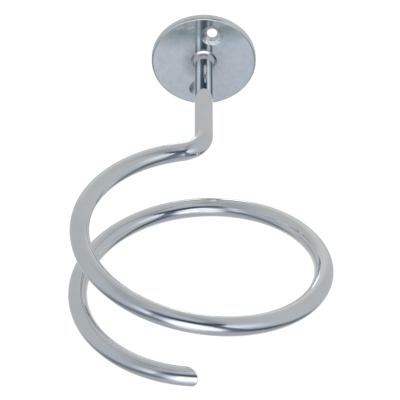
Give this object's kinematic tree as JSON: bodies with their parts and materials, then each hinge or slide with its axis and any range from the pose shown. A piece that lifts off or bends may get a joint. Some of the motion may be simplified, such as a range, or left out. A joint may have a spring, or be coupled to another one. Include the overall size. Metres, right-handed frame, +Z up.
{
  "type": "hair dryer holder",
  "caption": "Wall-mounted hair dryer holder: a round plate, a straight arm and an open spiral coil of round rod that the dryer's barrel drops into.",
  "frame": {"origin": "centre of the wall plate's back face, on the arm's axis", "axes": "+Y into the wall, -Y out into the room along the arm, +Z up; the coil's axis is vertical, 120.2 mm out from the wall"},
  "size_m": [0.1106, 0.1755, 0.0641],
  "materials": {
    "bright_chrome": "bright chrome plate over polished bar, faint draw lines and wipe marks",
    "plate_chrome": "chrome plate over unpolished stamped sheet, hazy with soft cloudy mottling",
    "zinc_steel": "zinc plated, slightly dull"
  },
  "bodies": {
    "root": {"wall_plate": "plate_chrome", "collar": "bright_chrome", "coil_rod": "bright_chrome", "retaining_screw": "zinc_steel"}
  },
  "joints": []
}
